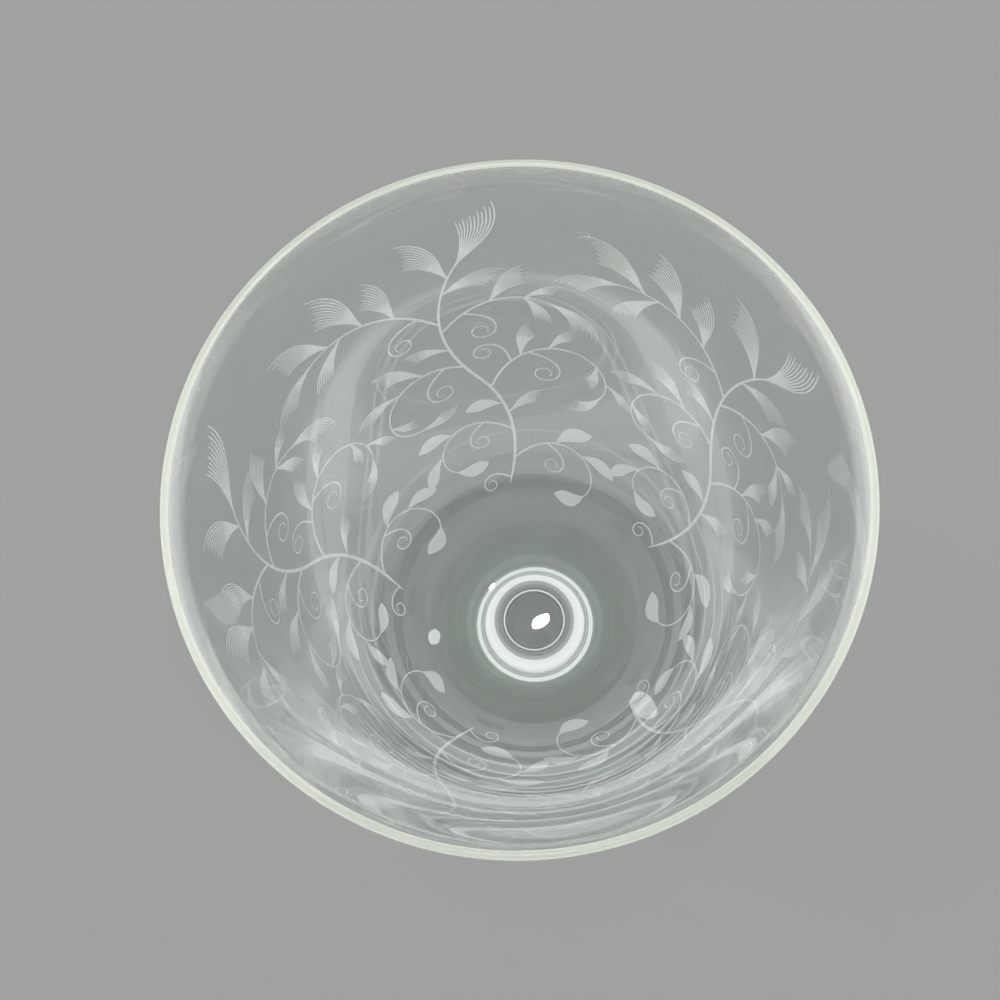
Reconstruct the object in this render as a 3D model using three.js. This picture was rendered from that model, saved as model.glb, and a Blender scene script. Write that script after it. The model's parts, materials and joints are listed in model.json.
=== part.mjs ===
// Footed iced tea glass: a deep bowl, a short plain stem and a low domed foot of clear glass,
// fused to each other while hot. Millimetres, +Z up, standing on Z = 0 with its axis on Z.
import * as THREE from 'three';

// Bowl
const rimRadius = 42; // outside of the mouth
const rimWall = 1.2; // glass at the mouth, rounded over by fire polishing
const bowlHeight = 124; // from the stem joint to the top of the rim
const bowlFloor = 2; // glass above the stem joint, in the middle of the bowl
const bowlNeckRadius = 20; // where the bowl is fused to the stem
const outsideFullness = 3; // power of the outside's curve: 2 is an ellipse, more is fuller
const insideFullness = 3.1; // power of the inside's curve, a little fuller than the outside

// Stem
const stemRadius = 6.8; // waist, the thinnest place
const stemLength = 26; // between the two joints
const upperFlare = 16; // height of the curve from the waist up to the bowl
const lowerFlare = 9; // height of the curve from the waist down to the foot

// Foot
const footRadius = 39; // outside of the edge
const footEdge = 2.4; // thickness of the rounded edge
const footHeight = 10; // from the table to the stem joint
const footNeckRadius = 9.5; // where the stem is fused to the foot
const footNeckFall = 50; // degrees, fall of the outside at that joint
const footTopFall = 5; // degrees, fall of the top beside the edge
const bearingWidth = 3.5; // flat ring that the glass stands on
const hollowDepth = 1.2; // shallow hollow inside that ring

// Steps of the faceted shapes
const turnSteps = 48; // around the axis
const bowlSteps = 18; // along each side of the bowl
const sweepSteps = 8; // along a flare, the foot's top or its hollow
const roundSteps = 6; // around the rim or the foot's edge

// Heights where the pieces meet
const stemJoint = footHeight;
const bowlJoint = stemJoint + stemLength;
const rimTop = bowlJoint + bowlHeight;

// The bowl's sides are full, rounded curves, widest at the mouth; the outside is cut off at the stem joint
const rimRound = rimWall / 2;
const mouth = rimTop - rimRound;
const neckDepth = mouth - bowlJoint;
const neckAngle = Math.acos((bowlNeckRadius / rimRadius) ** (outsideFullness / 2));
const outsideDrop = neckDepth / Math.sin(neckAngle) ** (2 / outsideFullness);
const insideDrop = neckDepth - bowlFloor;

const glass = new THREE.MeshStandardMaterial({
  color: 0xdfe8e2,
  roughness: 0.05,
  metalness: 0,
  transparent: true,
  opacity: 0.35,
});

function point(radius, height) {
  return new THREE.Vector2(radius, height);
}

// Points around part of a circle, from one angle to another
function arc(radius, height, round, from, to) {
  const circle = new THREE.EllipseCurve(radius, height, round, round, from, to);
  return circle.getPoints(roundSteps);
}

// Points along a curve that leaves the start and meets the end along the lines to its corner
function sweep(start, corner, end) {
  return new THREE.QuadraticBezierCurve(start, corner, end).getPoints(sweepSteps);
}

// Outlines list radius and height, from the axis around the outside and back to the axis
function turned(name, outline) {
  const geometry = new THREE.LatheGeometry(outline, turnSteps);
  geometry.rotateX(Math.PI / 2);
  const mesh = new THREE.Mesh(geometry, glass.clone());
  mesh.name = name;
  return mesh;
}

// A point of one side of the bowl's wall, with angle 0 at the mouth and a right angle on the axis
function wallPoint(angle, radius, drop, fullness) {
  const power = 2 / fullness;
  return point(radius * Math.cos(angle) ** power, mouth - drop * Math.sin(angle) ** power);
}

function bowlOutline() {
  const outside = [];
  for (let i = 0; i < bowlSteps; i += 1) {
    const angle = neckAngle * (1 - i / bowlSteps);
    outside.push(wallPoint(angle, rimRadius, outsideDrop, outsideFullness));
  }
  const rim = arc(rimRadius - rimRound, mouth, rimRound, 0, Math.PI);
  const inside = [];
  for (let i = 1; i < bowlSteps; i += 1) {
    const angle = (Math.PI / 2) * (i / bowlSteps);
    inside.push(wallPoint(angle, rimRadius - rimWall, insideDrop, insideFullness));
  }
  return [point(0, bowlJoint), ...outside, ...rim, ...inside, point(0, mouth - insideDrop)];
}

// The stem's outside runs on smoothly from the foot below and into the bowl above
function stemOutline() {
  const footRise = (footNeckRadius - stemRadius) * Math.tan(THREE.MathUtils.degToRad(footNeckFall));
  const neckShare = (bowlNeckRadius / rimRadius) / (neckDepth / outsideDrop);
  const bowlSlope = (outsideDrop / rimRadius) * neckShare ** (outsideFullness - 1);
  const bowlRise = (bowlNeckRadius - stemRadius) * bowlSlope;
  const lower = sweep(
    point(footNeckRadius, stemJoint),
    point(stemRadius, stemJoint + footRise),
    point(stemRadius, stemJoint + lowerFlare),
  );
  const upper = sweep(
    point(stemRadius, bowlJoint - upperFlare),
    point(stemRadius, bowlJoint - bowlRise),
    point(bowlNeckRadius, bowlJoint),
  );
  return [point(0, stemJoint), ...lower, ...upper, point(0, bowlJoint)];
}

function footOutline() {
  const edgeRound = footEdge / 2;
  const bearingOuter = footRadius - edgeRound;
  const bearingInner = bearingOuter - bearingWidth;
  const topFall = THREE.MathUtils.degToRad(footTopFall);
  const topSlope = Math.tan(topFall);
  const neckSlope = Math.tan(THREE.MathUtils.degToRad(footNeckFall));
  const hollow = sweep(
    point(0, hollowDepth),
    point(bearingInner / 2, hollowDepth),
    point(bearingInner, 0),
  );
  const edge = arc(bearingOuter, edgeRound, edgeRound, -Math.PI / 2, Math.PI / 2 - topFall);
  const edgeTop = edge[edge.length - 1];
  const neckDrop = stemJoint + footNeckRadius * neckSlope - edgeTop.y - edgeTop.x * topSlope;
  const cornerRadius = neckDrop / (neckSlope - topSlope);
  const corner = point(cornerRadius, stemJoint - (cornerRadius - footNeckRadius) * neckSlope);
  const top = sweep(edgeTop, corner, point(footNeckRadius, stemJoint)).slice(1);
  return [...hollow, ...edge, ...top, point(0, stemJoint)];
}

const icedTeaGlass = new THREE.Group();
icedTeaGlass.add(turned('bowl', bowlOutline()));
icedTeaGlass.add(turned('stem', stemOutline()));
icedTeaGlass.add(turned('foot', footOutline()));

export default icedTeaGlass;
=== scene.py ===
"""Footed iced tea glass: clear blown glass with a matt engraved leaf scroll, on a plain studio floor."""

import json
import math
import random
from collections import namedtuple

import bpy
import numpy as np
from bpy.props import FloatProperty, FloatVectorProperty, IntProperty, PointerProperty
from mathutils import Matrix, Vector

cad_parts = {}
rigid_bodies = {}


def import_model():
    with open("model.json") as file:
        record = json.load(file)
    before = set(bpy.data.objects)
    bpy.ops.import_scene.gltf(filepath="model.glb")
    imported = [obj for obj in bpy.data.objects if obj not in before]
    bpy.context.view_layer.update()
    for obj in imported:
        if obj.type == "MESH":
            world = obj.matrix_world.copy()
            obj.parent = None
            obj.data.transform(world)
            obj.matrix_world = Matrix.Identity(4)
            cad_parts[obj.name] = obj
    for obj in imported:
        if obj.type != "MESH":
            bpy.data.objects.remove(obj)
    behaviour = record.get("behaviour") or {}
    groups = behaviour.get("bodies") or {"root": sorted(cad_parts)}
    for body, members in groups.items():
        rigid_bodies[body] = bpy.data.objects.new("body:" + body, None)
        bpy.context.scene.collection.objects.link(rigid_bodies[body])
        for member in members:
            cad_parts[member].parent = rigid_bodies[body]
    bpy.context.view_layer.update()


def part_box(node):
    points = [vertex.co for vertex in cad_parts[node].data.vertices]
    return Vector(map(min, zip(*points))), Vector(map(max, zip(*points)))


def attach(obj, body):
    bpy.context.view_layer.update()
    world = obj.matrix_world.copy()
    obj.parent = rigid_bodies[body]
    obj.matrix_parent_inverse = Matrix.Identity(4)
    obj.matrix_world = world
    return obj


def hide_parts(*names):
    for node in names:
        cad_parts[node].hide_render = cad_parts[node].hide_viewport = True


bl_info = {
    "name": "Footed iced tea glass",
    "version": (1, 0, 0),
    "blender": (4, 5, 0),
    "location": "3D View > Sidebar > Iced Tea Glass",
    "description": "Makes a footed iced tea glass with an engraved leaf scroll, and a stage for it",
    "category": "Object",
}

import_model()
BOWL_LOW, BOWL_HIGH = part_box("bowl")
STEM_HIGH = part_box("stem")[1]
FOOT_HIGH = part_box("foot")[1]
MM = 0.001
BODY = "root"
PICTURE = 1000  # pixels along each side of the photograph
SENSOR = 36.0  # millimetres across the camera's sensor


def number(name, description, default, **kind):
    """A number that a user may change"""
    return FloatProperty(name=name, description=description, default=default, **kind)


def length(name, description, default):
    """A length that a user may change, in metres"""
    return number(name, description, default, unit="LENGTH", precision=5)


def angle(name, description, degrees):
    """An angle that a user may change, written in degrees"""
    return number(name, description, math.radians(degrees), subtype="ANGLE")


def colour(name, description, default):
    """A colour that a user may change"""
    return FloatVectorProperty(
        name=name, description=description, default=default, subtype="COLOR", min=0, max=1
    )


class GlassSizes(bpy.types.PropertyGroup):
    """Sizes of the bowl, the stem and the foot"""

    rim_radius: length("Rim radius", "Outside of the mouth", BOWL_HIGH.x)
    rim_top: length("Rim height", "Top of the rim above the table", BOWL_HIGH.z)
    rim_wall: length("Rim wall", "Glass at the fire-polished mouth", 1.2 * MM)
    bowl_joint: length("Bowl joint", "Height where the bowl is fused to the stem", BOWL_LOW.z)
    bowl_floor: length("Bowl floor", "Glass above the joint, in the middle", 2.0 * MM)
    bowl_neck: length("Bowl neck", "Radius where the bowl is fused to the stem", STEM_HIGH.x)
    outside_fullness: number("Outside fullness", "Power of the outside's curve: 2 is an ellipse", 3.0)
    inside_fullness: number("Inside fullness", "Power of the inside's curve: 2 is an ellipse", 3.1)
    stem_radius: length("Stem radius", "Waist of the stem", 6.8 * MM)
    upper_flare: length("Upper flare", "Height of the curve up to the bowl", 16 * MM)
    lower_flare: length("Lower flare", "Height of the curve down to the foot", 9 * MM)
    foot_joint: length("Foot joint", "Height where the stem is fused to the foot", FOOT_HIGH.z)
    foot_neck: length("Foot neck", "Radius where the stem is fused to the foot", 9.5 * MM)
    foot_radius: length("Foot radius", "Outside of the foot", FOOT_HIGH.x)
    foot_edge: length("Foot edge", "Thickness of the rounded edge", 2.4 * MM)
    neck_fall: angle("Neck fall", "Fall of the outside at the foot's neck", 50)
    top_fall: angle("Top fall", "Fall of the foot's top beside its edge", 5)
    bearing_width: length("Bearing width", "Flat ring that the glass stands on", 3.5 * MM)
    hollow_depth: length("Hollow depth", "Shallow hollow inside that ring", 1.2 * MM)


class GlassFinish(bpy.types.PropertyGroup):
    """Finish of the clear glass and of the engraving, and the painted glow of the rim"""

    thin_tint: colour("Thin tint", "Colour that thin glass gives to light", (0.963, 0.998, 0.969))
    thick_tint: colour("Thick tint", "Colour that thick glass gives to light", (0.91, 0.99, 0.94))
    refraction: number("Refraction", "Index of refraction", 1.52)
    # Pale colours painted on the rim: a painted glow for the light that runs up inside the glass wall
    rim_glow_light: colour("Rim, light", "Lightest part of the polished rim", (0.88, 0.925, 0.82))
    rim_glow_dark: colour("Rim, dark", "Darkest part of the polished rim", (0.78, 0.835, 0.71))
    matt_light: colour("Cut, light grain", "Lightest grain of the matt cut", (0.99, 0.99, 0.98))
    matt_dark: colour("Cut, dark grain", "Darkest grain of the matt cut", (0.94, 0.94, 0.93))


class ScrollSettings(bpy.types.PropertyGroup):
    """The engraved scroll on the outside of the bowl"""

    sprays: IntProperty(name="Sprays", description="Sprays around the bowl", default=5, min=1)
    seed: IntProperty(name="Seed", description="Sets the small differences between sprays", default=7)
    first_turn: angle("First spray", "Turn of the first spray around the bowl", 88)
    root_depth: length("Root depth", "Root of each spray below the mouth, along the wall", 113 * MM)
    stretch: number("Stretch", "Stretch of the sprays up the wall", 1.34)
    cut_gap: length("Cut gap", "Space between the wall and the cut", 0.02 * MM)
    cut_thickness: length("Cut thickness", "Thickness of the matt cut", 0.05 * MM)


class StageSettings(bpy.types.PropertyGroup):
    """Floor, light and camera"""

    floor_near: colour("Floor", "Floor around the glass", (0.36, 0.365, 0.36))
    floor_far: colour("Far floor", "Floor far away from the glass", (0.845, 0.85, 0.85))
    low_light: number("Low light", "Soft light from the sides", 2.7)
    high_light: number("High light", "Soft light from above", 0.35)
    low_seen: number("Backdrop", "Brightness of the backdrop", 0.82)
    high_seen: number("Ceiling", "Brightness of the ceiling", 0.9)
    lens: number("Lens", "Focal length on a 36 mm sensor", 39.96, unit="CAMERA")
    eye_distance: length("Eye distance", "From the lens to the mouth's plane", 129.3 * MM)
    tilt: angle("Tilt", "View direction away from straight down", 13.3)
    roll: angle("Roll", "Turn of the picture", 12.0)
    rim_x: number("Mouth x", "Mouth's centre in the picture, from the left", 514.1, subtype="PIXEL")
    rim_y: number("Mouth y", "Mouth's centre in the picture, from the top", 484.0, subtype="PIXEL")
    lens_x: number("Lens x", "Lens axis in the picture, from the left", 500.0, subtype="PIXEL")
    lens_y: number("Lens y", "Lens axis in the picture, from the top", 500.0, subtype="PIXEL")


# Shapes turned about the glass's axis

TURN_STEPS = 192  # around the axis
WALL_STEPS = 90  # along each side of the bowl
SWEEP_STEPS = 40  # along a flare, the foot's top or its hollow
ROUND_STEPS = 16  # around the rim or the foot's edge
RIM_SIDE = 3  # of those, on each side of the rim, that are finished as the wall is
SHARP = math.radians(25)
GLASS, JOINT, RIM = 0, 1, 2  # places of a turned piece's materials
BOTTOM, TOP = 0, -1  # first and last strip of an outline


def arc(radius, height, round_radius, start, end):
    """Points around part of a circle"""
    steps = [start + (end - start) * i / ROUND_STEPS for i in range(ROUND_STEPS + 1)]
    return [(radius + round_radius * math.cos(a), height + round_radius * math.sin(a)) for a in steps]


def sweep(start, corner, end):
    """Points of a curve that leaves its start and meets its end along the lines to its corner"""
    points = []
    for i in range(SWEEP_STEPS + 1):
        t = i / SWEEP_STEPS
        shares = ((1 - t) ** 2, 2 * t * (1 - t), t ** 2)
        points.append(tuple(sum(s * p[k] for s, p in zip(shares, (start, corner, end))) for k in (0, 1)))
    return points


class BowlWall:
    """The bowl's wall: full, rounded curves, widest at the mouth; the outside ends at the stem joint"""

    def __init__(self, sizes):
        self.sizes = sizes
        self.rim_round = sizes.rim_wall / 2
        self.mouth = sizes.rim_top - self.rim_round
        self.fullness = sizes.outside_fullness
        self.neck_depth = self.mouth - sizes.bowl_joint
        self.neck_angle = math.acos((sizes.bowl_neck / sizes.rim_radius) ** (self.fullness / 2))
        self.drop = self.neck_depth / math.sin(self.neck_angle) ** (2 / self.fullness)

    def side(self, around, radius, drop, fullness):
        """A point of one side of the wall, with angle 0 at the mouth and a right angle on the axis"""
        power = 2 / fullness
        return radius * math.cos(around) ** power, self.mouth - drop * math.sin(around) ** power

    def point(self, around, lift=0.0):
        """A point of the outside, lifted off it"""
        radius, height = self.side(around, self.sizes.rim_radius, self.drop, self.fullness)
        across = (radius / self.sizes.rim_radius) ** (self.fullness - 1) / self.sizes.rim_radius
        down = ((self.mouth - height) / self.drop) ** (self.fullness - 1) / self.drop
        step = lift / math.hypot(across, down)
        return radius + step * across, height - step * down

    def neck_slope(self):
        """Rise of the outside for each step away from the axis, at the stem joint"""
        share = self.sizes.bowl_neck / self.sizes.rim_radius / (self.neck_depth / self.drop)
        return self.drop / self.sizes.rim_radius * share ** (self.fullness - 1)

    def outline(self):
        """From the axis at the joint, up the outside, over the rim and down the inside"""
        sizes = self.sizes
        inner_radius = sizes.rim_radius - sizes.rim_wall
        inner = (inner_radius, self.neck_depth - sizes.bowl_floor, sizes.inside_fullness)
        outside = [self.point(self.neck_angle * (1 - i / WALL_STEPS)) for i in range(WALL_STEPS)]
        rim = arc(sizes.rim_radius - self.rim_round, self.mouth, self.rim_round, 0, math.pi)
        inside = [self.side(math.pi / 2 * i / WALL_STEPS, *inner) for i in range(1, WALL_STEPS)]
        floor = (0, sizes.bowl_joint + sizes.bowl_floor)
        return [(0, sizes.bowl_joint), *outside, *rim, *inside, floor]

    def rim_strips(self):
        """Strips of the outline along the top of the rim"""
        return range(WALL_STEPS + 1 + RIM_SIDE, WALL_STEPS + 1 + ROUND_STEPS - RIM_SIDE)


def stem_outline(sizes):
    """From the axis at the foot joint, up the outside to the axis at the bowl joint"""
    foot_rise = (sizes.foot_neck - sizes.stem_radius) * math.tan(sizes.neck_fall)
    bowl_rise = (sizes.bowl_neck - sizes.stem_radius) * BowlWall(sizes).neck_slope()
    lower = sweep(
        (sizes.foot_neck, sizes.foot_joint),
        (sizes.stem_radius, sizes.foot_joint + foot_rise),
        (sizes.stem_radius, sizes.foot_joint + sizes.lower_flare),
    )
    upper = sweep(
        (sizes.stem_radius, sizes.bowl_joint - sizes.upper_flare),
        (sizes.stem_radius, sizes.bowl_joint - bowl_rise),
        (sizes.bowl_neck, sizes.bowl_joint),
    )
    return [(0, sizes.foot_joint), *lower, *upper, (0, sizes.bowl_joint)]


def foot_outline(sizes):
    """From the axis under the foot, round its edge and up its top to the axis at the joint"""
    edge_round = sizes.foot_edge / 2
    bearing_outer = sizes.foot_radius - edge_round
    bearing_inner = bearing_outer - sizes.bearing_width
    top_slope = math.tan(sizes.top_fall)
    neck_slope = math.tan(sizes.neck_fall)
    hollow = sweep((0, sizes.hollow_depth), (bearing_inner / 2, sizes.hollow_depth), (bearing_inner, 0))
    edge = arc(bearing_outer, edge_round, edge_round, -math.pi / 2, math.pi / 2 - sizes.top_fall)
    edge_radius, edge_height = edge[-1]
    neck_drop = sizes.foot_joint + sizes.foot_neck * neck_slope - edge_height - edge_radius * top_slope
    corner_radius = neck_drop / (neck_slope - top_slope)
    corner = (corner_radius, sizes.foot_joint - (corner_radius - sizes.foot_neck) * neck_slope)
    top = sweep(edge[-1], corner, (sizes.foot_neck, sizes.foot_joint))[1:]
    return [*hollow, *edge, *top, (0, sizes.foot_joint)]


def around_axis(radius, height, count=TURN_STEPS):
    """Points spaced evenly on a level circle about the axis"""
    turns = [2 * math.pi * k / TURN_STEPS for k in range(count)]
    return [(radius * math.cos(turn), radius * math.sin(turn), height) for turn in turns]


def turned(name, outline, joint_strips, rim_strips=()):
    """A closed mesh turned about Z; strips at a joint and along a rim take materials of their own"""
    points, rings = [], []
    for radius, height in outline:
        count = TURN_STEPS if radius > 0 else 1
        rings.append(range(len(points), len(points) + count))
        points += around_axis(radius, height, count)
    faces, strips = [], []
    for strip, (low, high) in enumerate(zip(rings, rings[1:])):
        for k in range(TURN_STEPS):
            places = ((low, k), (low, k + 1), (high, k + 1), (high, k))
            corners = [ring[place % len(ring)] for ring, place in places]
            faces.append(list(dict.fromkeys(corners)))
            strips.append(strip)
    mesh = bpy.data.meshes.new(name)
    mesh.from_pydata(points, [], faces)
    mesh.shade_smooth()
    mesh.set_sharp_from_angle(angle=SHARP)
    joints = {strip % (len(rings) - 1) for strip in joint_strips}
    finishes = [RIM if strip in rim_strips else JOINT if strip in joints else GLASS for strip in strips]
    mesh.polygons.foreach_set("material_index", finishes)
    mesh.update()
    return mesh


def placed(mesh, *materials):
    """An object for a mesh that is already in its place, riding on the glass"""
    piece = bpy.data.objects.new(mesh.name, mesh)
    bpy.context.scene.collection.objects.link(piece)
    for material in materials:
        mesh.materials.append(material)
    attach(piece, BODY)
    return piece


# Materials

Noise = namedtuple("Noise", "scale detail roughness")
Surface = namedtuple("Surface", "ripples depth haze")

# Ripples in each metre along X, Y and Z, their depth, and the roughness of the dullest smears
BOWL_SURFACE = Surface((18, 18, 55), 0.003 * MM, 0.05)
STEM_SURFACE = Surface((60, 60, 30), 0.01 * MM, 0.01)
FOOT_SURFACE = Surface((40, 40, 40), 0.01 * MM, 0.02)
RIPPLES = Noise(1.0, 1.0, 0.4)
SMEARS = Noise(70.0, 4.0, 0.6)
SMEAR_START, SMEAR_END = 0.45, 0.8
THICK_FADE = 8 * MM
# The rim's painted glow: how its pale colour drifts, its roughness, and the share that stays clear glass
RIM_DRIFT = Noise(90.0, 2.0, 0.5)
RIM_ROUGHNESS = (0.06, 0.14)
RIM_CLEAR = 0.5
CUT_GRAIN = Noise(2600.0, 3.0, 0.65)
CUT_ROUGHNESS = (0.6, 0.85)
CUT_GLOW = 0.76


def new_material(name):
    """A material with nodes, and its shader"""
    material = bpy.data.materials.new(name)
    material.use_nodes = True
    shader = next(n for n in material.node_tree.nodes if n.type == "BSDF_PRINCIPLED")
    return material, shader


def add_node(tree, kind, inputs=None, **settings):
    """A node with its settings and input values"""
    node = tree.nodes.new(kind)
    for name, value in settings.items():
        setattr(node, name, value)
    for name, value in (inputs or {}).items():
        node.inputs[name].default_value = value
    return node


def add_noise(tree, place, noise):
    """A soft uneven pattern, by the socket of its place"""
    node = add_node(tree, "ShaderNodeTexNoise", dict(zip(("Scale", "Detail", "Roughness"), noise)))
    tree.links.new(place, node.inputs["Vector"])
    return node.outputs["Fac"]


def blend_colours(tree, factor, dark, light):
    """A colour between two others, by a factor's socket"""
    ramp = add_node(tree, "ShaderNodeValToRGB")
    ramp.color_ramp.elements[0].color = (*dark, 1)
    ramp.color_ramp.elements[1].color = (*light, 1)
    tree.links.new(factor, ramp.inputs["Fac"])
    return ramp.outputs["Color"]


def spread(tree, source, low, high, start=0.0, end=1.0, **settings):
    """A socket's value moved from one range to another and held inside it"""
    ranges = {"From Min": start, "From Max": end, "To Min": low, "To Max": high}
    node = add_node(tree, "ShaderNodeMapRange", ranges, **settings)
    tree.links.new(source, node.inputs["Value"])
    return node.outputs["Result"]


def clear_glass(name, finish, surface, thick_below):
    """Clear blown glass: faint ripples of the blowing, a faint haze of use, greener where it is thick"""
    material, shader = new_material(name)
    tree = material.node_tree
    place = add_node(tree, "ShaderNodeTexCoord").outputs["Object"]
    stretched = add_node(tree, "ShaderNodeMapping", {"Scale": surface.ripples})
    tree.links.new(place, stretched.inputs["Vector"])
    bump = add_node(tree, "ShaderNodeBump", {"Strength": 1.0, "Distance": surface.depth})
    tree.links.new(add_noise(tree, stretched.outputs["Vector"], RIPPLES), bump.inputs["Height"])
    tree.links.new(bump.outputs["Normal"], shader.inputs["Normal"])
    dull = spread(tree, add_noise(tree, place, SMEARS), 0.0, surface.haze, SMEAR_START, SMEAR_END)
    tree.links.new(dull, shader.inputs["Roughness"])
    parts = add_node(tree, "ShaderNodeSeparateXYZ")
    tree.links.new(place, parts.inputs["Vector"])
    thick = spread(tree, parts.outputs["Z"], 1, 0, thick_below - THICK_FADE, thick_below + THICK_FADE)
    tints = blend_colours(tree, thick, finish.thin_tint, finish.thick_tint)
    tree.links.new(tints, shader.inputs["Base Color"])
    shader.inputs["Transmission Weight"].default_value = 1.0
    shader.inputs["IOR"].default_value = finish.refraction
    return material


def rim_painted_glow(name, finish):
    """The fire-polished rim, half clear glass and half a pale matt colour: a painted glow that stands in
    for the light that runs up inside the wall and comes out there
    """
    material, shader = new_material(name)
    tree = material.node_tree
    drift = add_noise(tree, add_node(tree, "ShaderNodeTexCoord").outputs["Object"], RIM_DRIFT)
    # Painted glow: pale colours that stand in for light coming out of the rim
    glow_paint = blend_colours(tree, drift, finish.rim_glow_dark, finish.rim_glow_light)
    tree.links.new(glow_paint, shader.inputs["Base Color"])
    tree.links.new(spread(tree, drift, *RIM_ROUGHNESS), shader.inputs["Roughness"])
    # Only part of the rim stays clear glass; the rest shows the painted glow
    shader.inputs["Transmission Weight"].default_value = RIM_CLEAR
    shader.inputs["IOR"].default_value = finish.refraction
    return material


def fused_joint(name):
    """Where glass runs on into glass: nothing is left to see"""
    material, shader = new_material(name)
    shader.inputs["Alpha"].default_value = 0.0
    return material


def matt_cut(name, finish):
    """Matt ground glass left by the engraver's wheel, with its fine grain"""
    material, shader = new_material(name)
    tree = material.node_tree
    grain = add_noise(tree, add_node(tree, "ShaderNodeTexCoord").outputs["Object"], CUT_GRAIN)
    whites = blend_colours(tree, grain, finish.matt_dark, finish.matt_light)
    tree.links.new(whites, shader.inputs["Base Color"])
    tree.links.new(spread(tree, grain, *CUT_ROUGHNESS), shader.inputs["Roughness"])
    shader.inputs["IOR"].default_value = finish.refraction
    glow = add_node(tree, "ShaderNodeBsdfTranslucent")
    tree.links.new(whites, glow.inputs["Color"])
    mix = add_node(tree, "ShaderNodeMixShader", {"Fac": CUT_GLOW})
    tree.links.new(shader.outputs["BSDF"], mix.inputs[1])
    tree.links.new(glow.outputs["BSDF"], mix.inputs[2])
    output = next(n for n in tree.nodes if n.type == "OUTPUT_MATERIAL")
    tree.links.new(mix.outputs["Shader"], output.inputs["Surface"])
    return material


# The engraved scroll, drawn flat in millimetres: x around the bowl, y up towards the mouth

# Angles, turns and bends are in degrees to the left, and places are shares of the parent's length;
# a higher tighten keeps more of the turn for the end
Branch = namedtuple("Branch", "name parent at angle length turn tighten width")
Leaf = namedtuple("Leaf", "branch at angle length bend kind")
Feather = namedtuple("Feather", "split fan lines")

BRANCHES = (
    Branch("trunk", None, 0.0, 112, 33, -52, 1.0, 0.66),
    Branch("crown", "trunk", 1.0, 0, 35, 64, 1.2, 0.66),
    Branch("low_left", "trunk", 0.20, 40, 27, 178, 1.5, 0.50),
    Branch("low_right", "trunk", 0.46, -48, 26, -184, 1.5, 0.50),
    Branch("mid_left", "trunk", 0.88, 48, 36, 186, 1.5, 0.52),
    Branch("mid_right", "crown", 0.15, -44, 31, -196, 1.5, 0.50),
    Branch("top_left", "crown", 0.50, 46, 21, 78, 1.3, 0.48),
    Branch("top_right", "crown", 0.56, -40, 26, -62, 1.3, 0.48),
    Branch("curl_base", "trunk", 0.04, -76, 15, -460, 2.0, 0.40),
    Branch("curl_low", "low_right", 0.26, -52, 17, -460, 2.0, 0.38),
    Branch("curl_loop", "low_left", 0.30, 50, 18, 460, 2.0, 0.38),
    Branch("curl_left", "mid_left", 0.22, -54, 19, -480, 2.0, 0.40),
    Branch("curl_mid", "mid_left", 0.34, 52, 22, 470, 2.0, 0.40),
    Branch("curl_right", "mid_right", 0.12, -52, 22, -480, 2.0, 0.40),
    Branch("curl_high", "top_right", 0.18, -56, 20, -480, 2.0, 0.40),
    Branch("curl_side", "top_left", 0.26, 56, 20, 470, 2.0, 0.38),
)
LEAVES = (
    Leaf("crown", 1.00, 0, 14.3, -26, "plume"),
    Leaf("crown", 0.90, -50, 12.6, -30, "plume"),
    Leaf("crown", 0.80, 46, 10.6, 28, "plume"),
    Leaf("crown", 0.34, -50, 8.8, -24, "comb"),
    Leaf("top_right", 1.00, 0, 9.9, -26, "plume"),
    Leaf("top_right", 0.84, 46, 12.6, -26, "plume"),
    Leaf("top_right", 0.60, 48, 13.2, -24, "plume"),
    Leaf("top_right", 0.36, 46, 11.5, -22, "plume"),
    Leaf("top_right", 0.74, -50, 9.9, -22, "comb"),
    Leaf("top_left", 1.00, 0, 11.2, 38, "plume"),
    Leaf("top_left", 0.78, -46, 7.2, 24, "comb"),
    Leaf("top_left", 0.50, -48, 10.2, 24, "plume"),
    Leaf("top_left", 0.78, 48, 8.4, 22, "comb"),
    Leaf("mid_right", 0.24, 46, 11.0, -26, "comb"),
    Leaf("mid_right", 0.44, 44, 9.9, -34, "comb"),
    Leaf("mid_right", 0.70, -44, 7.2, -26, "comb"),
    Leaf("mid_right", 1.00, 0, 9.3, -50, "comb"),
    Leaf("mid_left", 0.30, -46, 9.6, 26, "comb"),
    Leaf("mid_left", 0.46, -50, 7.4, 22, "comb"),
    Leaf("mid_left", 0.86, -48, 7.4, 30, "comb"),
    Leaf("mid_left", 0.72, 44, 7.2, 26, "comb"),
    Leaf("mid_left", 1.00, 0, 9.3, 50, "comb"),
    Leaf("low_left", 0.36, -46, 9.4, 24, "solid"),
    Leaf("low_left", 0.60, -46, 8.0, 28, "solid"),
    Leaf("low_left", 1.00, 0, 8.2, 46, "solid"),
    Leaf("low_right", 0.52, 46, 8.8, -24, "solid"),
    Leaf("low_right", 0.76, 46, 7.6, -28, "solid"),
    Leaf("low_right", 1.00, 0, 8.2, -46, "solid"),
    Leaf("trunk", 0.70, -54, 7.7, -20, "solid"),
    Leaf("trunk", 0.62, 52, 9.0, 20, "comb"),
)
FEATHERS = {"plume": Feather(0.30, 0.50, 11), "comb": Feather(0.50, 0.42, 10)}
BRANCH_STEPS, LEAF_STEPS, FEWEST_ROWS = 44, 16, 3
LEAF_COLUMNS, STROKE_COLUMNS = 5, 2  # points across a leaf and across a fine stroke
BRANCH_TAPER = 0.5  # share of its width that a branch loses on its way
ROOT_POINT, ROOT_RUN = 0.25, 0.25  # the root's width at its point, and the run that gains a whole width
SOLID_WIDTH, SOLID_LEAN = 0.40, 0.35  # a solid leaf's width for its length, and lean for its width
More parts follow.
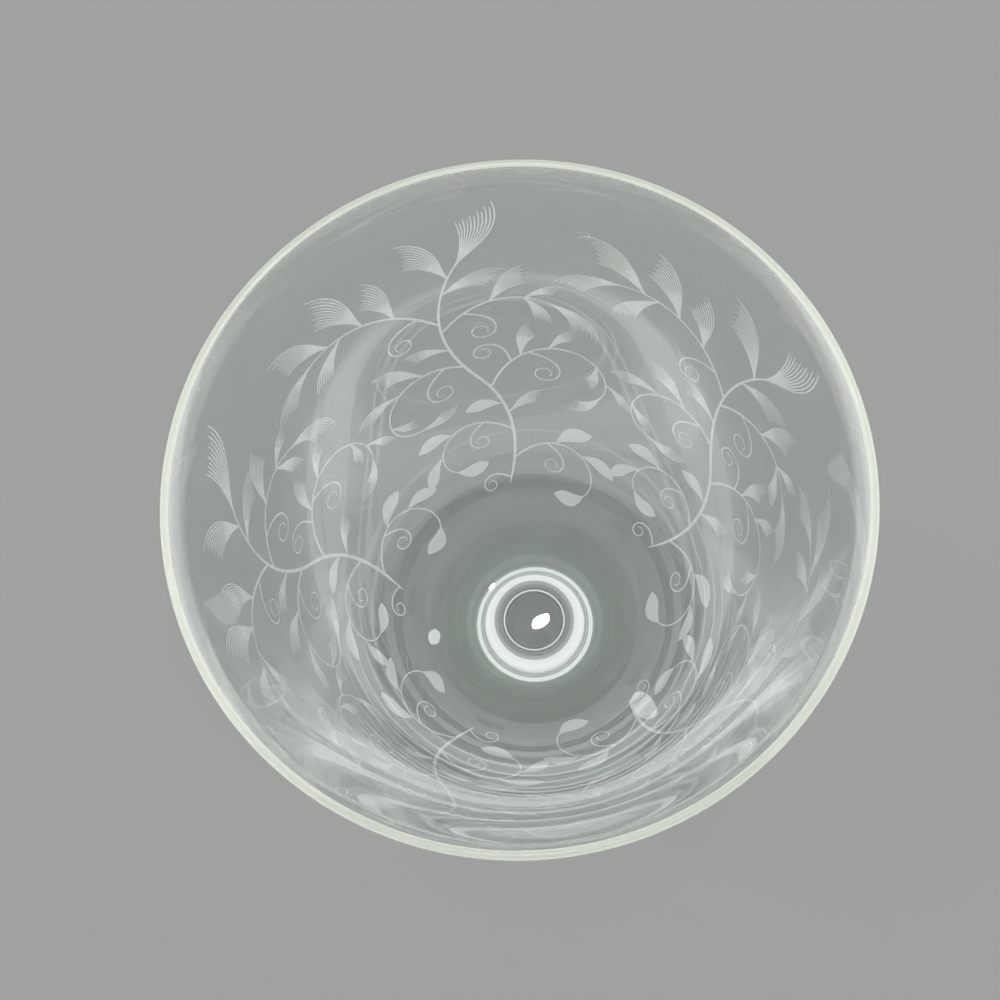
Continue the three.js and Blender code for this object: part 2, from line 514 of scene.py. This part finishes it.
SOLID_TIP = 0.16  # its width at both ends
SOLID_TIGHTEN, SOLID_BELLY, SOLID_ROUND = 1.2, 1.35, 0.9  # how late it bends and is widest, and how round
LEAF_FOOT = 0.34  # a feathered leaf's width where it leaves the branch
FEATHER_BEND, FEATHER_TIGHTEN = 2.2, 2.2  # how much more and how late it bends, for its hooks
FEATHER_OPEN = 1.5  # how late it fans out
LINE_GAP, GAP_RUN = 0.48, 0.16  # clear share between its lines, and the run in which that opens
LINE_TAPER, TAPER_LATE = 0.6, 3  # share of its width that a line loses, and how late
LINE_END, LINE_SLANT, LINE_STAGGER = 0.96, 0.20, 0.04  # longest line's end, and how others fall short
HAND_TURN, HAND_LENGTH = 4, (0.93, 1.05)  # small differences of the hand: degrees each way, and shares


def wander(start, heading, run, turn, tighten, steps):
    """Points and headings of a curve that turns faster towards its end"""
    points, headings = [start], [heading]
    for i in range(steps):
        middle = math.radians(heading + turn * ((i + 0.5) / steps) ** tighten)
        x, y = points[-1]
        points.append((x + run / steps * math.cos(middle), y + run / steps * math.sin(middle)))
        headings.append(heading + turn * ((i + 1) / steps) ** tighten)
    return np.array(points), np.array(headings)


def ribbon(line, width_at, shift_at=lambda t: 0.0, first=0.0, last=1.0):
    """The two edges of a stroke along part of a line, with its width and sideways shift along the way"""
    points, headings = line
    along = np.linspace(0, 1, len(headings))
    rows = max(FEWEST_ROWS, round((len(headings) - 1) * (last - first)))
    left, right = [], []
    for t in np.linspace(first, last, rows + 1):
        x, y = np.interp(t, along, points[:, 0]), np.interp(t, along, points[:, 1])
        heading = math.radians(np.interp(t, along, headings))
        for edge, half in ((left, 0.5), (right, -0.5)):
            reach = shift_at(t) + half * width_at(t)
            edge.append((x - math.sin(heading) * reach, y + math.cos(heading) * reach))
    return left, right


def solid_leaf(base, heading, leaf):
    """A broad leaf that is matt all over and leans to one side"""
    line = wander(base, heading, leaf.length, leaf.bend, SOLID_TIGHTEN, LEAF_STEPS)
    widest = SOLID_WIDTH * leaf.length
    lean = math.copysign(SOLID_LEAN * widest, leaf.bend)
    return ribbon(
        line,
        lambda t: SOLID_TIP + widest * max(0, math.sin(math.pi * t ** SOLID_BELLY)) ** SOLID_ROUND,
        lambda t: lean * t ** 2,
    )


def feather_leaf(base, heading, leaf):
    """A leaf that is solid at its foot and runs out into fine hooked lines: the solid foot and the lines"""
    feather = FEATHERS[leaf.kind]
    hook = math.copysign(1, leaf.bend)
    bend = leaf.bend * FEATHER_BEND
    middle = wander(base, heading, leaf.length, bend, FEATHER_TIGHTEN, LEAF_STEPS)

    def fan_at(t):
        opened = math.sin(math.pi / 2 * t) ** FEATHER_OPEN
        return LEAF_FOOT + (feather.fan * leaf.length - LEAF_FOOT) * opened

    def line_at(t, end):
        apart = 1 - LINE_GAP * min(1, (t - feather.split) / GAP_RUN)
        point = 1 - LINE_TAPER * ((t - feather.split) / (end - feather.split)) ** TAPER_LATE
        return fan_at(t) / feather.lines * apart * point

    lines = []
    for i in range(feather.lines):
        side = (i + 0.5) / feather.lines - 0.5
        end = LINE_END - LINE_SLANT * (side * hook + 0.5) - LINE_STAGGER * (i % 2)
        line = ribbon(middle, lambda t: line_at(t, end), lambda t: side * fan_at(t), feather.split, end)
        lines.append(line)
    return ribbon(middle, fan_at, last=feather.split), lines


class Spray:
    """One spray of the scroll: its strokes by kind, drawn by hand, so that no two are quite alike"""

    def __init__(self, chance):
        self.chance = chance
        self.lines, self.widths = {}, {}
        self.strokes = {"stems": [], "tendrils": [], "feathers": [], "leaves": []}
        for branch in BRANCHES:
            self.grow(branch)
        for leaf in LEAVES:
            self.unfold(leaf)

    def place(self, parent, at, away):
        """Start and heading of a stroke that leaves another one at its edge"""
        points, headings = self.lines[parent]
        step = round(at * BRANCH_STEPS)
        heading = headings[step] + away
        clear = 0.0
        if away:
            clear = self.widths[parent](at) / 2 / abs(math.sin(math.radians(away)))
        x, y = points[step]
        lean = math.radians(heading)
        return (x + clear * math.cos(lean), y + clear * math.sin(lean)), heading

    def grow(self, branch):
        """Draw a branch or a tendril"""
        start, heading = (0.0, 0.0), branch.angle
        self.widths[branch.name] = lambda t: branch.width * min(1, ROOT_POINT + t / ROOT_RUN)
        if branch.parent:
            start, heading = self.place(branch.parent, branch.at, branch.angle)
            self.widths[branch.name] = lambda t: branch.width * (1 - BRANCH_TAPER * t)
        line = wander(start, heading, branch.length, branch.turn, branch.tighten, BRANCH_STEPS)
        self.lines[branch.name] = line
        kind = "tendrils" if branch.name.startswith("curl") else "stems"
        self.strokes[kind].append(ribbon(line, self.widths[branch.name]))

    def unfold(self, leaf):
        """Draw a leaf"""
        base, heading = self.place(leaf.branch, leaf.at, leaf.angle)
        heading += self.chance.uniform(-HAND_TURN, HAND_TURN)
        leaf = leaf._replace(length=leaf.length * self.chance.uniform(*HAND_LENGTH))
        if leaf.kind == "solid":
            self.strokes["leaves"].append(solid_leaf(base, heading, leaf))
        else:
            foot, lines = feather_leaf(base, heading, leaf)
            self.strokes["leaves"].append(foot)
            self.strokes["feathers"] += lines


class WallMap:
    """Lays flat points on the outside of the bowl"""

    STEPS = 400

    def __init__(self, wall, settings):
        self.wall = wall
        self.root_depth = settings.root_depth
        self.stretch = settings.stretch
        self.angles = np.linspace(0, wall.neck_angle, self.STEPS)
        outside = np.array([wall.point(a) for a in self.angles])
        steps = np.hypot(*np.diff(outside, axis=0).T)
        self.depths = np.concatenate([[0], np.cumsum(steps)])

    def point(self, flat, turn, lift):
        """A flat point in millimetres, turned around the bowl and lifted off the wall"""
        around = np.interp(self.root_depth - flat[1] * self.stretch * MM, self.depths, self.angles)
        outside = self.wall.point(around)
        radius, height = self.wall.point(around, lift)
        turn += flat[0] * MM / outside[0]
        return radius * math.cos(turn), radius * math.sin(turn), height


CUT, AGAINST_GLASS = 0, 1  # places of the cut's materials


def cut_mesh(name, sprays, columns, wall_map, settings):
    """Closed thin solids on the wall, one for each stroke of each spray"""
    points, faces = [], []
    lifts = (settings.cut_gap, settings.cut_gap + settings.cut_thickness)
    for order, strokes in enumerate(sprays):
        turn = settings.first_turn + 2 * math.pi * order / settings.sprays
        for left, right in strokes:
            first, rows = len(points), len(left)
            for lift in lifts:
                for a, b in zip(left, right):
                    for column in range(columns):
                        share = column / (columns - 1)
                        flat = (a[0] + (b[0] - a[0]) * share, a[1] + (b[1] - a[1]) * share)
                        points.append(wall_map.point(flat, turn, lift))
            faces += slab_faces(first, rows, columns)
    mesh = bpy.data.meshes.new(name)
    mesh.from_pydata(points, [], [corners for corners, _ in faces])
    mesh.polygons.foreach_set("material_index", [finish for _, finish in faces])
    mesh.update()
    return mesh


def slab_faces(first, rows, columns):
    """Faces of a thin slab whose lower sheet of points comes first, each with its material's place"""
    def at(sheet, row, column):
        return first + (sheet * rows + row) * columns + column

    faces = []
    for row in range(rows - 1):
        for column in range(columns - 1):
            corners = ((row, column), (row, column + 1), (row + 1, column + 1), (row + 1, column))
            low = [at(0, *corner) for corner in corners]
            high = [at(1, *corner) for corner in (corners[0], *corners[:0:-1])]
            faces += [(low, AGAINST_GLASS), (high, CUT)]
        for column, turned_over in ((0, False), (columns - 1, True)):
            side = [at(0, row, column), at(0, row + 1, column), at(1, row + 1, column), at(1, row, column)]
            faces.append((side[::-1] if turned_over else side, CUT))
    for row, turned_over in ((0, True), (rows - 1, False)):
        for column in range(columns - 1):
            end = [at(0, row, column), at(0, row, column + 1), at(1, row, column + 1), at(1, row, column)]
            faces.append((end[::-1] if turned_over else end, CUT))
    return faces


# The stage

FLOOR_RADIUS = 6.0
FLOOR_DROP = 0.05 * MM
FLOOR_RINGS, RING_CROWDING = 24, 2
FLOOR_ROUGHNESS, FLOOR_GLOSS = 0.9, 0.1
NEAR_FLOOR, FAR_FLOOR = 0.28, 0.95  # where the floor begins to grow lighter, and where it ends
LOW_SKY, HIGH_SKY = 0.26, 0.70  # where the sides of the sky end and the part above begins
WHITE = (1, 1, 1, 1)
UNSCATTERED = 0.5  # light is counted up by one at each matt surface that scatters it
LIGHT_BOUNCES = 128
NEAREST_SEEN = 10 * MM

Lamp = namedtuple("Lamp", "name turn rise width height power colour")
LAMP_DISTANCE = 1.4
# Turn and rise in degrees, width and height in metres, power in watts
LAMPS = (
    Lamp("back_lamp", 90, 82.5, 0.03, 0.02, 0.4, (1.0, 0.98, 0.96)),
    Lamp("right_lamp", -25, 75, 0.08, 0.08, 0.6, (1.0, 0.99, 0.97)),
    Lamp("left_lamp", 155, 66, 0.08, 0.08, 0.5, (0.98, 1.0, 0.99)),
)


def floor_mesh():
    """A wide round floor whose rings are closer together near the glass"""
    points = [(0, 0, -FLOOR_DROP)]
    faces = []
    for ring in range(1, FLOOR_RINGS + 1):
        radius = FLOOR_RADIUS * (ring / FLOOR_RINGS) ** RING_CROWDING
        points += around_axis(radius, -FLOOR_DROP)
    for k in range(TURN_STEPS):
        after = (k + 1) % TURN_STEPS
        faces.append((0, 1 + k, 1 + after))
        for ring in range(FLOOR_RINGS - 1):
            inner, outer = 1 + ring * TURN_STEPS, 1 + (ring + 1) * TURN_STEPS
            faces.append((inner + k, outer + k, outer + after, inner + after))
    mesh = bpy.data.meshes.new("studio_floor")
    mesh.from_pydata(points, [], faces)
    mesh.update()
    return mesh


def floor_paint(stage):
    """Plain pale floor that grows lighter far from the glass"""
    material, shader = new_material("pale_floor")
    tree = material.node_tree
    distance = add_node(tree, "ShaderNodeVectorMath", operation="LENGTH")
    tree.links.new(add_node(tree, "ShaderNodeTexCoord").outputs["Object"], distance.inputs[0])
    far = spread(
        tree, distance.outputs["Value"], 0, 1, NEAR_FLOOR, FAR_FLOOR, interpolation_type="SMOOTHSTEP"
    )
    paint = blend_colours(tree, far, stage.floor_near, stage.floor_far)
    tree.links.new(paint, shader.inputs["Base Color"])
    shader.inputs["Roughness"].default_value = FLOOR_ROUGHNESS
    shader.inputs["Specular IOR Level"].default_value = FLOOR_GLOSS
    return material


def work_out(tree, operation, first, second):
    """A value worked out from two sockets"""
    node = add_node(tree, "ShaderNodeMath", operation=operation)
    tree.links.new(first, node.inputs[0])
    tree.links.new(second, node.inputs[1])
    return node.outputs["Value"]


def studio_sky(stage):
    """Soft light from all around, and the pale backdrop that the camera and the glass see"""
    world = bpy.data.worlds.new("studio_sky")
    world.use_nodes = True
    tree = world.node_tree
    tree.nodes.clear()
    parts = add_node(tree, "ShaderNodeSeparateXYZ")
    tree.links.new(add_node(tree, "ShaderNodeTexCoord").outputs["Generated"], parts.inputs["Vector"])
    mix = add_node(tree, "ShaderNodeMixShader")
    levels = ((stage.low_light, stage.high_light), (stage.low_seen, stage.high_seen))
    for socket, (low, high) in enumerate(levels, 1):
        sky = add_node(tree, "ShaderNodeBackground", {"Color": WHITE})
        level = spread(tree, parts.outputs["Z"], low, high, LOW_SKY, HIGH_SKY)
        tree.links.new(level, sky.inputs["Strength"])
        tree.links.new(sky.outputs["Background"], mix.inputs[socket])
    path = add_node(tree, "ShaderNodeLightPath").outputs
    camera_or_gloss = work_out(tree, "MAXIMUM", path["Is Camera Ray"], path["Is Glossy Ray"])
    looking = work_out(tree, "MAXIMUM", camera_or_gloss, path["Is Transmission Ray"])
    direct = add_node(tree, "ShaderNodeMath", {1: UNSCATTERED}, operation="LESS_THAN")
    tree.links.new(path["Diffuse Depth"], direct.inputs[0])
    tree.links.new(work_out(tree, "MULTIPLY", looking, direct.outputs["Value"]), mix.inputs["Fac"])
    output = add_node(tree, "ShaderNodeOutputWorld")
    tree.links.new(mix.outputs["Shader"], output.inputs["Surface"])
    return world


def hang_lamp(lamp):
    """A small soft lamp that faces the glass and shows in it only as a glint"""
    light = bpy.data.lights.new(lamp.name, "AREA")
    light.shape = "ELLIPSE"
    light.size, light.size_y = lamp.width, lamp.height
    light.energy = lamp.power
    light.color = lamp.colour
    holder = bpy.data.objects.new(lamp.name, light)
    bpy.context.scene.collection.objects.link(holder)
    turn, rise = math.radians(lamp.turn), math.radians(lamp.rise)
    away = Vector((math.cos(turn) * math.cos(rise), math.sin(turn) * math.cos(rise), math.sin(rise)))
    holder.location = away * LAMP_DISTANCE
    holder.rotation_euler = away.to_track_quat("Z", "Y").to_euler()
    holder.visible_transmission = False


def place_camera(stage, sizes):
    """Looks steeply down into the bowl, with the mouth where the photograph has it"""
    focal = stage.lens * PICTURE / SENSOR
    look = Vector((0, math.sin(stage.tilt), -math.cos(stage.tilt)))
    level = Vector((1, 0, 0))
    down = look.cross(level)
    right = math.cos(stage.roll) * level + math.sin(stage.roll) * down
    below = math.cos(stage.roll) * down - math.sin(stage.roll) * level
    scale = stage.eye_distance / focal
    mouth = Vector((0, 0, sizes.rim_top))
    aside = right * (stage.rim_x - stage.lens_x) * scale + below * (stage.rim_y - stage.lens_y) * scale
    camera = bpy.data.cameras.new("camera")
    camera.lens = stage.lens
    camera.sensor_width = SENSOR
    camera.shift_x = 0.5 - stage.lens_x / PICTURE
    camera.shift_y = stage.lens_y / PICTURE - 0.5
    camera.clip_start = NEAREST_SEEN
    holder = bpy.data.objects.new("camera", camera)
    bpy.context.scene.collection.objects.link(holder)
    turn = Matrix((right, -below, -look)).transposed().to_4x4()
    turn.translation = mouth - look * stage.eye_distance - aside
    holder.matrix_world = turn
    bpy.context.scene.camera = holder


# Operators


class ICEDTEA_OT_bowl(bpy.types.Operator):
    """Make the bowl of clear glass"""

    bl_idname = "icedtea.bowl"
    bl_label = "Bowl"

    def execute(self, context):
        sizes, finish = context.scene.glass_sizes, context.scene.glass_finish
        wall = BowlWall(sizes)
        mesh = turned("bowl_glass", wall.outline(), (BOTTOM,), wall.rim_strips())
        glass = clear_glass("bowl_clear_glass", finish, BOWL_SURFACE, sizes.bowl_joint)
        # The rim takes a pale painted glow for the light that runs up inside the wall
        rim = rim_painted_glow("rim_painted_glow", finish)
        piece = placed(mesh, glass, fused_joint("bowl_fused_joint"), rim)
        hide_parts("bowl")
        return {"FINISHED"}


class ICEDTEA_OT_stem(bpy.types.Operator):
    """Make the solid stem"""

    bl_idname = "icedtea.stem"
    bl_label = "Stem"

    def execute(self, context):
        sizes, finish = context.scene.glass_sizes, context.scene.glass_finish
        mesh = turned("stem_glass", stem_outline(sizes), (BOTTOM, TOP))
        glass = clear_glass("stem_clear_glass", finish, STEM_SURFACE, sizes.bowl_joint)
        piece = placed(mesh, glass, fused_joint("stem_fused_joint"))
        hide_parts("stem")
        return {"FINISHED"}


class ICEDTEA_OT_foot(bpy.types.Operator):
    """Make the domed foot"""

    bl_idname = "icedtea.foot"
    bl_label = "Foot"

    def execute(self, context):
        sizes, finish = context.scene.glass_sizes, context.scene.glass_finish
        mesh = turned("foot_glass", foot_outline(sizes), (TOP,))
        glass = clear_glass("foot_clear_glass", finish, FOOT_SURFACE, sizes.foot_edge - THICK_FADE)
        piece = placed(mesh, glass, fused_joint("foot_fused_joint"))
        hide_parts("foot")
        return {"FINISHED"}


class ICEDTEA_OT_scroll(bpy.types.Operator):
    """Engrave the leaf scroll on the outside of the bowl"""

    bl_idname = "icedtea.scroll"
    bl_label = "Engraved scroll"

    def execute(self, context):
        scene = context.scene
        settings = scene.scroll_settings
        wall_map = WallMap(BowlWall(scene.glass_sizes), settings)
        matt = matt_cut("matt_cut", scene.glass_finish)
        against = fused_joint("cut_against_glass")
        chance = random.Random(settings.seed)
        sprays = [Spray(chance).strokes for _ in range(settings.sprays)]
        for kind in sprays[0]:
            columns = LEAF_COLUMNS if kind == "leaves" else STROKE_COLUMNS
            strokes = [spray[kind] for spray in sprays]
            mesh = cut_mesh("engraved_" + kind, strokes, columns, wall_map, settings)
            piece = placed(mesh, matt, against)
        return {"FINISHED"}


class ICEDTEA_OT_stage(bpy.types.Operator):
    """Set the floor, the light and the camera"""

    bl_idname = "icedtea.stage"
    bl_label = "Stage"

    def execute(self, context):
        scene = context.scene
        stage = scene.stage_settings
        floor = bpy.data.objects.new("studio_floor", floor_mesh())
        scene.collection.objects.link(floor)
        floor.data.materials.append(floor_paint(stage))
        scene.world = studio_sky(stage)
        for lamp in LAMPS:
            hang_lamp(lamp)
        place_camera(stage, scene.glass_sizes)
        scene.view_settings.view_transform = "Standard"
        scene.cycles.max_bounces = LIGHT_BOUNCES
        scene.cycles.glossy_bounces = LIGHT_BOUNCES
        scene.cycles.transmission_bounces = LIGHT_BOUNCES
        return {"FINISHED"}


class ICEDTEA_PT_panel(bpy.types.Panel):
    """Sizes and steps of the glass"""

    bl_label = "Iced Tea Glass"
    bl_idname = "ICEDTEA_PT_panel"
    bl_space_type = "VIEW_3D"
    bl_region_type = "UI"
    bl_category = "Iced Tea Glass"

    def draw(self, context):
        layout = self.layout
        for settings, operators in PANEL_ROWS:
            box = layout.box()
            group = getattr(context.scene, settings)
            for name in group.__annotations__:
                box.prop(group, name)
            for operator in operators:
                box.operator(operator.bl_idname)


PANEL_ROWS = (
    ("glass_sizes", (ICEDTEA_OT_bowl, ICEDTEA_OT_stem, ICEDTEA_OT_foot)),
    ("glass_finish", ()),
    ("scroll_settings", (ICEDTEA_OT_scroll,)),
    ("stage_settings", (ICEDTEA_OT_stage,)),
)
SETTINGS = {
    "glass_sizes": GlassSizes,
    "glass_finish": GlassFinish,
    "scroll_settings": ScrollSettings,
    "stage_settings": StageSettings,
}
OPERATORS = (ICEDTEA_OT_bowl, ICEDTEA_OT_stem, ICEDTEA_OT_foot, ICEDTEA_OT_scroll, ICEDTEA_OT_stage)
CLASSES = (*SETTINGS.values(), *OPERATORS, ICEDTEA_PT_panel)


def register():
    """Make the settings, the operators and the panel known"""
    for cls in CLASSES:
        bpy.utils.register_class(cls)
    for name, cls in SETTINGS.items():
        setattr(bpy.types.Scene, name, PointerProperty(type=cls))


def unregister():
    """Take them away again"""
    for name in SETTINGS:
        delattr(bpy.types.Scene, name)
    for cls in reversed(CLASSES):
        bpy.utils.unregister_class(cls)


def main():
    """Make the glass piece by piece, then its stage"""
    register()
    bpy.ops.icedtea.bowl()
    bpy.ops.icedtea.stem()
    bpy.ops.icedtea.foot()
    bpy.ops.icedtea.scroll()
    bpy.ops.icedtea.stage()


if __name__ == "__main__":
    main()
